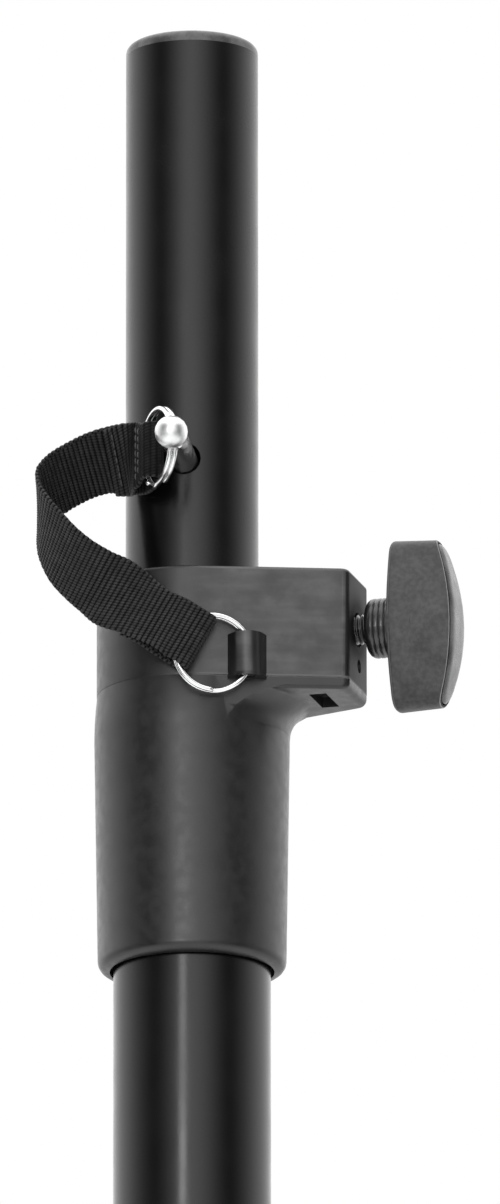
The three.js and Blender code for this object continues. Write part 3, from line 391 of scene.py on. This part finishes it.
def housing_plastic():
    """Black moulding: glossy round the sleeve, matt on its end. The block's sides are painted paler as painted
    light, its seam, brim and corners carry painted highlights, and its end reflects less round the screw as
    painted shade.
    """
    made = Shader("housing_plastic", (0.009, 0.009, 0.0092), 0.34)
    made.set("IOR", 1.62)
    place, facing = made.place_and_facing()
    above_seam = made.ramp(place[2], (SEAM_Z - 0.1) * MM, (SEAM_Z + 0.1) * MM)
    block = made.times(made.ramp(place[0], 0.5 * MM, 15 * MM), above_seam)
    side = made.times(block, made.ramp(made.away(facing[1], 0.0), 0.8, 0.93))
    end = made.times(block, made.ramp(facing[0], 0.9, 0.98))
    cloud = made.ramp(made.noise(6 * MM, detail=5.0), 0.3, 0.7, 0.45, 1.4)
    streaks = made.ramp(made.noise(2.2 * MM, (7, 7, 1), detail=5.0), 0.3, 0.7, 0.7, 1.3)
    # Painted light: the block's sides are painted paler, standing in for the soft light they reflect, in random
    # cloud and streak patches
    painted_side_light = made.times(side, cloud, streaks)
    # Painted highlight along the seam between block and sleeve, where it lies flush with the block's leaning
    # sides
    near_seam = made.ramp(made.away(place[2], (SEAM_Z + 0.2) * MM), 0.2 * MM, 0.45 * MM, 1.0, 0.0)
    out = made.times(made.away(place[1], 0.0), SIDE_ACROSS)
    out = made.math("ADD", made.times(place[0], SIDE_ALONG), out)
    flush = made.ramp(out, 25.3 * MM, 25.6 * MM, 1.0, 0.0)
    seam_highlight = made.times(near_seam, flush, streaks, made.ramp(place[0], 6 * MM, 9 * MM))
    # Painted highlights on the brim round the top and on the block's upright corners
    brim_highlight = made.ramp(made.away(place[2], BRIM_Z * MM), 0.15 * MM, 0.4 * MM, 1.0, 0.0)
    brim_highlight = made.times(brim_highlight, made.ramp(facing[2], 0.9, 0.95, 1.0, 0.0))
    corner = made.ramp(made.away(facing[0], 0.56), 0.14, 0.2, 1.0, 0.0)
    corner = made.times(corner, made.ramp(place[0], 40 * MM, 42 * MM))
    painted_edge_light = made.times(block, streaks, made.math("MAXIMUM", brim_highlight, corner))
    # The painted light on the block's sides, with a faint random mottle over the whole housing
    painted_light = made.math("ADD", made.times(painted_side_light, 0.37), made.times(cloud, 0.05))
    painted_highlights = made.math("MAXIMUM", made.times(seam_highlight, 0.95), made.times(painted_edge_light, 0.7))
    painted_lightness = made.math("MAXIMUM", painted_light, painted_highlights)
    # The base colour is lifted by the painted light on the sides and by the painted highlights
    made.set("Base Color", made.mix(painted_lightness, (0.003, 0.003, 0.0031), (0.1, 0.1, 0.102)))
    up = made.math("SUBTRACT", place[2], SCREW_Z * MM)
    # Painted shade: the end face reflects less round the screw, where the hub and knob shade it
    hub_shade = made.times(end, made.ramp(made.from_axis(up, place[1]), 6 * MM, 12.5 * MM, 1.0, 0.0))
    rough = made.ramp(made.noise(3 * MM, detail=5.0), 0.3, 0.7, 0.32, 0.41)
    made.set("Roughness", made.math("MAXIMUM", rough, made.times(end, 0.62)))
    shine = made.math("SUBTRACT", made.ramp(end, 0.0, 1.0, 0.5, 0.42), made.times(hub_shade, 0.36))
    made.set("Specular IOR Level", shine)
    made.bump(made.noise(0.22 * MM, detail=2.0), 0.02 * MM)
    return made.material


def knob_plastic():
    """Grey moulding with a fine grain, lighter towards the top as painted light, with painted highlights on its
    front and rear edges and painted shade on the rim round the cap. Its hub is darker and polished by the
    fingers.
    """
    made = Shader("knob_plastic", (0.042, 0.042, 0.043), 0.45)
    place, facing = made.place_and_facing()
    up = made.math("SUBTRACT", place[2], SCREW_Z * MM)
    hub = made.ramp(made.from_axis(up, place[1]), 7.95 * MM, 8.05 * MM, 1.0, 0.0)
    hub = made.times(hub, made.ramp(place[0], 54.4 * MM, 54.7 * MM, 1.0, 0.0))
    cloud = made.ramp(made.noise(7 * MM), 0.3, 0.7, 0.0, 0.35)
    grain = made.ramp(made.noise(1.2 * MM, detail=5.0), 0.3, 0.7, 0.0, 0.35)
    # Painted light: the body is lighter towards the top
    painted_light = made.ramp(up, -10 * MM, 14 * MM, 0.0, 0.3)
    patchy = made.math("ADD", made.math("ADD", cloud, grain), painted_light)
    shade = made.mix(patchy, (0.018, 0.018, 0.0183), (0.09, 0.09, 0.091))
    # Painted highlights along the front and rear edges of the body
    front = made.ramp(made.away(facing[0], 0.52), 0.18, 0.28, 0.8, 0.0)
    rear = made.ramp(made.away(facing[0], -0.5), 0.15, 0.25, 0.3, 0.0)
    painted_edge_light = made.math("MAXIMUM", front, rear)
    # Painted shade: the body's front rim round the cap is near black and dull, standing in for the shadow of
    # the gap at the cap's seam
    seam = made.ramp(facing[0], 0.84, 0.88)
    body = made.mix(seam, made.mix(painted_edge_light, shade, (0.3, 0.3, 0.303)), (0.003, 0.003, 0.003))
    made.set("Base Color", made.mix(hub, body, (0.01, 0.01, 0.01)))
    shine = made.math("ADD", made.ramp(seam, 0.0, 1.0, 0.5, 0.05), made.times(hub, 0.4))
    made.set("Specular IOR Level", shine)
    made.set("Roughness", made.ramp(hub, 0.0, 1.0, 0.46, 0.27))
    made.bump(made.noise(0.3 * MM, detail=2.0), 0.02 * MM)
    return made.material


# Meshes

def link_piece(name, verts, faces, body, material):
    mesh = bpy.data.meshes.new(name)
    mesh.from_pydata([tuple(v) for v in verts], [], [tuple(int(i) for i in f) for f in faces])
    mesh.update()
    piece = bpy.data.objects.new(name, mesh)
    bpy.context.scene.collection.objects.link(piece)
    mesh.materials.append(material)
    mesh.shade_smooth()
    if body:
        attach(piece, body)
    return piece


def loft(rings):
    """Quads between rings of points that all have the same count, closed at both ends."""
    rings = np.asarray(rings, float)
    count, sides = rings.shape[:2]
    faces = []
    for k in range(count - 1):
        for j in range(sides):
            a, b = k * sides + j, k * sides + (j + 1) % sides
            faces.append((a, b, b + sides, a + sides))
    faces.append(tuple(reversed(range(sides))))
    faces.append(tuple(range((count - 1) * sides, count * sides)))
    return rings.reshape(-1, 3), faces


def soften(node, limit_degrees, radial=False):
    """Gives a CAD node smooth normals across edges flatter than the limit. Its mesh stays as it is."""
    mesh = NODES[node].data
    co = np.array([v.co for v in mesh.vertices])
    keys = {}
    corners = []
    for polygon in mesh.polygons:
        area = polygon.area
        for index in polygon.vertices:
            key = tuple(np.round(co[index] * 1e6).astype(int))
            keys.setdefault(key, []).append((np.array(polygon.normal), area))
            corners.append((key, np.array(polygon.normal), co[index]))
    limit = math.cos(math.radians(limit_degrees))
    normals = []
    for key, own, place in corners:
        total = np.zeros(3)
        for other, area in keys[key]:
            if own @ other > limit:
                total += other * area
        if radial and abs(own[2]) < 0.02:
            out = np.array([place[0], place[1], 0])
            out /= np.linalg.norm(out)
            if abs(own @ out) > math.cos(math.radians(6)):
                total = out * np.sign(own @ out)
        length = np.linalg.norm(total)
        normals.append(total / length if length > 0 else own)
    mesh.shade_smooth()
    mesh.normals_split_custom_set([tuple(n) for n in normals])


# Retaining strap: its middle line and the direction across it, as the CAD source has them. The lists
# STRAP_ROUTE and STRAP_ACROSS weren't chosen by hand: a program fitted them to the strap's edges in the
# photograph

STRAP_THICKNESS = 1.4
STRAP_WIDTHS = (18.2, 19.2, 16.4)
STRAP_FRAME = math.radians(15)
STRAP_LEAN = math.radians(30)
STRAP_PAST_RING = 1.2
STRAP_SEWN = 17
RING_PINCH = 2.8
STRAP_REACH = np.array([-40, -32, -54])
STRAP_RISE = 0.8
REST_GAP = 0.3
STRAP_ROUTE = [
    (0.446, 0.506, 0.008), (0.595, 0.461, 0.017), (0.742, 0.46, 0.055), (0.872, 0.495, 0.116),
    (0.968, 0.568, 0.196), (1.0, 0.672, 0.288), (0.969, 0.777, 0.381), (0.91, 0.868, 0.473),
    (0.836, 0.943, 0.561), (0.735, 0.991, 0.641), (0.614, 1.01, 0.71), (0.488, 1.002, 0.768),
    (0.362, 0.974, 0.824), (0.233, 0.946, 0.879),
]
STRAP_ACROSS = [
    (-0.17, 0.45, 0.88), (-0.22, 0.69, 0.69), (-0.23, 0.74, 0.63), (-0.23, 0.75, 0.62),
    (-0.17, 0.79, 0.59), (0.0, 0.82, 0.57), (0.14, 0.81, 0.57), (0.26, 0.78, 0.57),
    (0.34, 0.74, 0.58), (0.39, 0.69, 0.61), (0.45, 0.58, 0.68), (0.52, 0.18, 0.83),
    (0.47, -0.2, 0.86), (0.44, -0.26, 0.86),
]
RING_STACK = 2 * WIRE + RING_GAP
WRAP_GAP = RING_STACK / 2 + REST_GAP + STRAP_THICKNESS / 2
SEWN_GAP = STRAP_THICKNESS / 2 + REST_GAP / 2


def spline(points):
    """A centripetal Catmull-Rom curve through the points, as a function of a share from 0 to 1."""
    points = [np.array(p, float) for p in points]
    padded = [2 * points[0] - points[1], *points, 2 * points[-1] - points[-2]]

    def at(share):
        place = min(max(share, 0), 1) * (len(points) - 1)
        index = min(int(place), len(points) - 2)
        t = place - index
        p0, p1, p2, p3 = padded[index : index + 4]
        d0, d1, d2 = (np.sum((a - b) ** 2) ** 0.25 for a, b in ((p0, p1), (p1, p2), (p2, p3)))
        d1 = 1.0 if d1 < 1e-4 else d1
        d0 = d1 if d0 < 1e-4 else d0
        d2 = d1 if d2 < 1e-4 else d2
        m1 = ((p1 - p0) / d0 - (p2 - p0) / (d0 + d1) + (p2 - p1) / d1) * d1
        m2 = ((p2 - p1) / d1 - (p3 - p1) / (d1 + d2) + (p3 - p2) / d2) * d1
        return p1 + m1 * t + (3 * (p2 - p1) - 2 * m1 - m2) * t**2 + (2 * (p1 - p2) + m1 + m2) * t**3

    return at


def smoothstep(x, low, high):
    t = min(max((x - low) / (high - low), 0), 1)
    return t * t * (3 - 2 * t)


def turn_z(v, angle):
    c, s = math.cos(angle), math.sin(angle)
    x, y, z = v
    return np.array([c * x - s * y, s * x + c * y, z])


def fold_at(width):
    inside = math.sqrt((RING_RADIUS - WIRE / 2) ** 2 - (width / 2) ** 2)
    return inside - REST_GAP + WRAP_GAP - STRAP_THICKNESS / 2


def strap_curves():
    upper_away = np.array([math.cos(UPPER_RING[1]), math.sin(UPPER_RING[1]), 0])
    lower_away = -np.array([math.cos(LOWER_RING[1]), math.sin(LOWER_RING[1]), 0])
    upper_pull = turn_z(upper_away, -STRAP_FRAME)
    level = turn_z(lower_away, -STRAP_FRAME)
    up = np.array([0, 0, 1.0])
    lower_pull = level * math.cos(STRAP_LEAN) + up * math.sin(STRAP_LEAN)
    lower_across = -level * math.sin(STRAP_LEAN) + up * math.cos(STRAP_LEAN)
    upper = turn_z(UPPER_RING[0], -STRAP_FRAME) + upper_pull * fold_at(STRAP_WIDTHS[0])
    lower = turn_z(LOWER_RING[0], -STRAP_FRAME) + lower_pull * fold_at(STRAP_WIDTHS[2])

    def start(fold, pull, width):
        past = RING_RADIUS + STRAP_PAST_RING - fold_at(width)
        return [fold + pull * past * share for share in (0, 0.5, 1)]

    top = np.array([0, 0, PIN_Z + STRAP_RISE])
    middle = spline([
        *start(upper, upper_pull, STRAP_WIDTHS[0]),
        *[top + STRAP_REACH * p for p in STRAP_ROUTE],
        *reversed(start(lower, lower_pull, STRAP_WIDTHS[2])),
    ])
    across = spline([
        up, up, up,
        *[np.array([r, -f, u]) / math.hypot(r, f, u) for r, f, u in STRAP_ACROSS],
        lower_across, lower_across, lower_across,
    ])
    return middle, across


def strap_stations(step):
    """Stations along the webbing from one sewn flap to the other: place, across, thickness direction, width."""
    middle, across = strap_curves()
    divisions = 2000
    raw = np.array([middle(i / divisions) for i in range(divisions + 1)])
    lengths = np.concatenate([[0], np.cumsum(np.linalg.norm(np.diff(raw, axis=0), axis=1))])
    total = lengths[-1]
    sewn = STRAP_SEWN / total

    def station(share):
        t = np.interp(share * total, lengths, np.linspace(0, 1, divisions + 1))
        delta = 1e-4
        along = middle(min(t + delta, 1)) - middle(max(t - delta, 0))
        along /= np.linalg.norm(along)
        side = -across(t)
        side -= along * (side @ along)
        side /= np.linalg.norm(side)
        thick = np.cross(side, along)
        first, wide, last = STRAP_WIDTHS
        width = first + (wide - first) * smoothstep(share, 0.02, 0.1)
        width += (last - wide) * smoothstep(share, 0.75, 0.95)
        width -= RING_PINCH * (1 - smoothstep(share * total, 0.5, 4.5))
        return middle(t), along, side, thick / np.linalg.norm(thick), width

    def stand_off(from_fold):
        closing = smoothstep(from_fold, sewn * 0.35, sewn * 0.8)
        single = smoothstep(from_fold, sewn * 1.05, sewn * 1.7)
        return (WRAP_GAP + (SEWN_GAP - WRAP_GAP) * closing) * (1 - single)

    def layer(share, side):
        place, along, across_here, thick, width = station(share)
        off = stand_off(min(share, 1 - share)) * side
        return place + thick * off, across_here, thick * side, width

    def fold(share, turn):
        place, along, across_here, thick, width = station(share)
        back = along * (-1 if share < 0.5 else 1)
        count = max(6, round(math.pi * WRAP_GAP / step))
        for i in range(1, count):
            angle = turn * (math.pi / 2 - math.pi * i / count)
            out = thick * math.sin(angle) + back * math.cos(angle)
            yield place + out * WRAP_GAP, across_here, out, width

    flap_count = round(STRAP_SEWN / step)
    main_count = round(total / step)
    yield from (layer(sewn * (1 - i / flap_count), -1) for i in range(flap_count + 1))
    yield from fold(0, -1)
    yield from (layer(i / main_count, 1) for i in range(main_count + 1))
    yield from fold(1, 1)
    yield from (layer(1 - sewn * i / flap_count, -1) for i in range(flap_count + 1))


RIB_PITCH = 1.38
RIB_DEPTH = 0.5
YARN_PITCH = 0.82
YARN_DEPTH = 0.34
YARN_SLANT = 0.5
STITCH = 2.1
STITCH_HALF_SHARE = 0.44  # half of a stitch's thread, as a share of the stitch
STITCH_SINK = 0.12
STITCH_RISE = 0.3
STITCH_MARGIN = 1.6
THREAD_RADIUS = 0.24
SEAMS = (3.6, 5.2, 14.6)  # millimetres from the fold round the ring
# The sewn end near the upper ring is pressed flat up to the first distance from the fold, and the ribs are
# full from the second on
FLAT_RIBS = (12, 16)
STATION_STEP = 0.17


def rope(x):
    """Height of cords laid side by side, one for each unit of x: 0 between two cords and 1 on a crest."""
    return np.sqrt(np.clip(1 - (2 * (x % 1) - 1) ** 2, 0, 1))


def web_height(run, across, ease):
    """Height of the woven face over its valleys: ribs across the web, each wound from slanted yarns."""
    ribs = run / RIB_PITCH
    rib = rope(ribs)
    yarn = rope(across / YARN_PITCH + 0.5 * (np.floor(ribs) % 2) + YARN_SLANT * (ribs % 1 - 0.5))
    return -(RIB_DEPTH * (1 - rib) * ease) - YARN_DEPTH * (1 - yarn) * np.sqrt(rib) * ease


def woven_band(stations, columns=150, edge_steps=5):
    """A ribbed band through the stations, and how high each of its points stands on the ribs, less where the
    web is pressed flat.
    """
    place, across, thick = (np.array([s[i] for s in stations]) for i in range(3))
    width = np.array([s[3] for s in stations])
    run = np.concatenate([[0], np.cumsum(np.linalg.norm(np.diff(place, axis=0), axis=1))])
    from_fold = np.abs(run - STRAP_SEWN - math.pi * WRAP_GAP / 2)
    press = np.clip((from_fold - FLAT_RIBS[0]) / (FLAT_RIBS[1] - FLAT_RIBS[0]), 0, 1)
    ease = (0.4 + 0.6 * press * press * (3 - 2 * press))[:, None]
    half = STRAP_THICKNESS / 2
    rib = rope(run / RIB_PITCH)[:, None]
    reach = (width / 2 - half)[:, None]
    share = np.linspace(1, -1, columns)[None, :]
    flat = reach * share
    front = half + web_height(run[:, None], flat, ease)
    back = -half - web_height(run[:, None] + RIB_PITCH / 2, flat, ease)
    angle = (math.pi * (np.arange(edge_steps) + 1) / (edge_steps + 1))[None, :]
    bulge = half * (0.7 + 0.45 * rib * ease)
    round_edge = np.where(angle < math.pi / 2, front[:, -1:], -back[:, -1:]) * np.cos(angle)
    edge = reach + bulge * np.sin(angle)
    a = np.concatenate([flat, -edge, flat[:, ::-1], edge], axis=1)
    t = np.concatenate([front, round_edge, back[:, ::-1], -round_edge], axis=1)
    points = place[:, None] + across[:, None] * a[..., None] + thick[:, None] * t[..., None]
    crest = 1 - (half - np.abs(t)) / (RIB_DEPTH + YARN_DEPTH) - 0.45 * (1 - ease)
    crest[:, columns : columns + edge_steps] = crest[:, -edge_steps:] = rib
    return points, crest


def make_strap(material):
    rings, crest = woven_band(list(strap_stations(STATION_STEP)))
    verts, faces = loft(rings)
    c, s = math.cos(STRAP_FRAME), math.sin(STRAP_FRAME)
    verts = verts @ np.array([[c, s, 0], [-s, c, 0], [0, 0, 1]]) * MM
    piece = link_piece("strap_webbing", verts, faces, None, material)
    heights = piece.data.attributes.new("crest", "FLOAT", "POINT")
    heights.data.foreach_set("value", crest.ravel().astype(np.float32))
    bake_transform(piece)
    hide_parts("retaining_strap")


def make_stitches(material):
    """Seams of thread across both faces of the sewn end beside the upper ring, one stitch after the other."""
    stations = list(strap_stations(STATION_STEP))
    place, across, thick = (np.array([s[i] for s in stations]) for i in range(3))
    width = np.array([s[3] for s in stations])
    run = np.concatenate([[0], np.cumsum(np.linalg.norm(np.diff(place, axis=0), axis=1))])
    c, s = math.cos(STRAP_FRAME), math.sin(STRAP_FRAME)
    back = np.array([[c, s, 0], [-s, c, 0], [0, 0, 1]])
    along_run = run - STRAP_SEWN - math.pi * WRAP_GAP
    verts, faces = [], []
    for distance in [*SEAMS, *(-math.pi * WRAP_GAP - seam for seam in SEAMS)]:
        row = int(np.argmin(np.abs(along_run - distance)))
        along = place[row + 1] - place[row - 1]
        along /= np.linalg.norm(along)
        reach = width[row] / 2 - STITCH_MARGIN
        for k in range(int(2 * reach / STITCH)):
            middle = -reach + (k + 0.5) * STITCH
            rings = []
            for step in np.linspace(-1, 1, 9):
                lift = STRAP_THICKNESS / 2 - STITCH_SINK + STITCH_RISE * math.sqrt(1 - 0.95 * step * step)
                aside = middle + step * STITCH * STITCH_HALF_SHARE
                centre = place[row] + across[row] * aside + thick[row] * lift
                thread = THREAD_RADIUS * math.sqrt(1.02 - step * step)
                rings.append([
                    centre + along * thread * math.cos(a) + thick[row] * thread * math.sin(a)
                    for a in TURN * np.arange(8) / 8
                ])
            new, sides = loft(rings)
            faces += [tuple(i + len(verts) for i in f) for f in sides]
            verts += list(new)
    piece = link_piece("strap_stitches", np.array(verts) @ back * MM, faces, None, material)
    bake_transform(piece)


# Split rings, pin and screw

def make_ring(name, node, body, place, material):
    centre, plane_turn, ends_at = place
    steps, sides = 64, 14
    middle_radius = RING_RADIUS + (WIRE - DRAWN_WIRE) / 2
    rows = round(steps * RING_TURNS)
    rings = []
    for i in range(rows + 1):
        angle = RING_TURNS * TURN * i / rows
        climb = smoothstep(angle, TURN - RING_JOG, TURN)
        ring = []
        for j in range(sides):
            side = TURN * j / sides
            r = middle_radius + math.cos(side) * DRAWN_WIRE / 2
            z = DRAWN_LIFT * (climb - 0.5) + math.sin(side) * DRAWN_WIRE / 2
            p = turn_z((r * math.cos(angle), r * math.sin(angle), z), ends_at)
            upright = np.array([p[0], -p[2], p[1]])
            ring.append(turn_z(upright, plane_turn) + np.array(centre))
        rings.append(ring)
    verts, faces = loft(rings)
    piece = link_piece(name, verts * MM, faces, body, material)
    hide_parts(node)


def make_screw(material):
    """The clamp screw with its rolled thread, a plain tip and a chamfer."""
    sides = 40
    tip = 3.3
    rows = round((SCREW_END - SCREW_START - tip) / SCREW_PITCH * 12)
    angles = TURN * np.arange(sides) / sides
    rings = []
    for x, r in ((0, 2.0), (0.5, 2.7), (tip - 0.3, 2.8)):
        rings.append([(SCREW_START + x, r * math.cos(a), SCREW_Z + r * math.sin(a)) for a in angles])
    for i in range(rows + 1):
        x = SCREW_START + tip + (SCREW_END - SCREW_START - tip) * i / rows
        rise = min(1, (x - SCREW_START - tip) / SCREW_PITCH)
        turn = (x / SCREW_PITCH - angles / TURN) % 1
        flank = np.clip(np.abs(2 * turn - 1) * 1.25 - 0.12, 0, 1)
        radius = (SCREW_RADIUS - THREAD_DEPTH) * (0.9 + 0.1 * rise) + THREAD_DEPTH * flank * rise
        rings.append([(x, r * math.cos(a), SCREW_Z + r * math.sin(a)) for a, r in zip(angles, radius)])
    verts, faces = loft(rings)
    piece = link_piece("clamp_thread", verts * MM, faces, "clamp", material)
    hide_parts("clamp_screw")


def clothe():
    coat = powder_coat("powder_coat", 0.25, 1.5)
    outer_coat = powder_coat("powder_coat_outer", 0.22, 1.5)
    housing = housing_plastic()
    knob = knob_plastic()
    cap = moulded("cap_plastic", (0.075, 0.075, 0.076), 0.28, 1.6, 0.6)
    liner = moulded("liner_plastic", (0.03, 0.03, 0.032), 0.5)
    zinc = plated("zinc_plating", (0.55, 0.56, 0.57), 0.3)
    black = plated("black_oxide", (0.03, 0.03, 0.032), 0.4)
    chrome = plated("chrome_plating", (0.92, 0.925, 0.93), 0.22, 1.8)
    cloth = webbing()
    finishes = {
        "painted_tube": coat, "housing_plastic": housing, "cap_plastic": cap, "liner_plastic": liner,
        "zinc_steel": zinc, "black_steel": black, "chromed_steel": chrome, "webbing": cloth,
    }
    special = {"knob_body": knob, "outer_tube": outer_coat}
    slots = {row["node"]: row["material_slot"] for row in frame["record"]["subparts"]}
    for name, node in NODES.items():
        node.data.materials.clear()
        node.data.materials.append(special.get(name, finishes[slots[name]]))
        soften(name, 35, radial=name in ("outer_tube", "inner_tube", "spigot_tube"))
    make_strap(cloth)
    make_stitches(moulded("thread", (0.07, 0.07, 0.071), 0.4, 1.5))
    make_screw(plated("oiled_thread", (0.16, 0.16, 0.163), 0.3))
    make_ring("ring_upper", "upper_split_ring", "upper_ring", UPPER_RING, chrome)
    make_ring("ring_lower", "lower_split_ring", "lower_ring", LOWER_RING, chrome)


make_camera()
make_world()
make_floor()
make_light("front_light", azimuth=1, elevation=-1, distance=1.5, width=0.22, height=0.6, power=3.2)
clothe()

bpy.context.scene.view_settings.view_transform = "Standard"
sizes = {"cad": CAD_BOX, "visual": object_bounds()}
{key: [list(corner) for corner in corners] for key, corners in sizes.items()}
